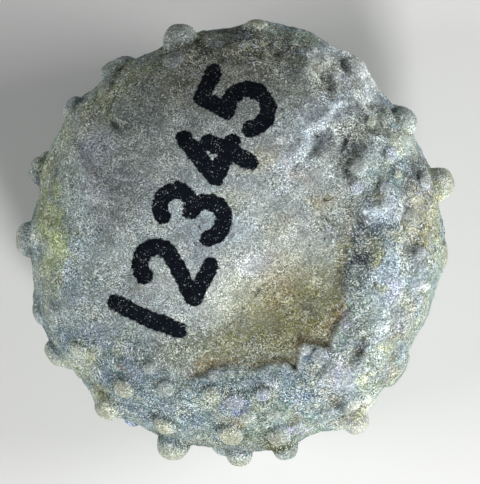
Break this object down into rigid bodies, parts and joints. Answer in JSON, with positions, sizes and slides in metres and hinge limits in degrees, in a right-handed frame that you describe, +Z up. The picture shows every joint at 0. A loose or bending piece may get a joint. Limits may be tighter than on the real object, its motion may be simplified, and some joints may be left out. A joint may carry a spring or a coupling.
{
  "type": "fossil sea urchin",
  "caption": "Small flattened fossil sea urchin with rounded knobs all over, its openings filled with rock and its upper side hollowed beside a jagged edge of shell.",
  "frame": {"origin": "middle of the bottom of the bounding box, on the worn flat underneath", "axes": "+Z up, out of the face with the large filled opening; +X to the right and +Y up the page when that face is looked at from above"},
  "size_m": [0.011, 0.0112, 0.0057],
  "materials": {
    "fossil_stone": "matte"
  },
  "bodies": {
    "root": {"fossil_urchin": "fossil_stone"}
  },
  "joints": []
}
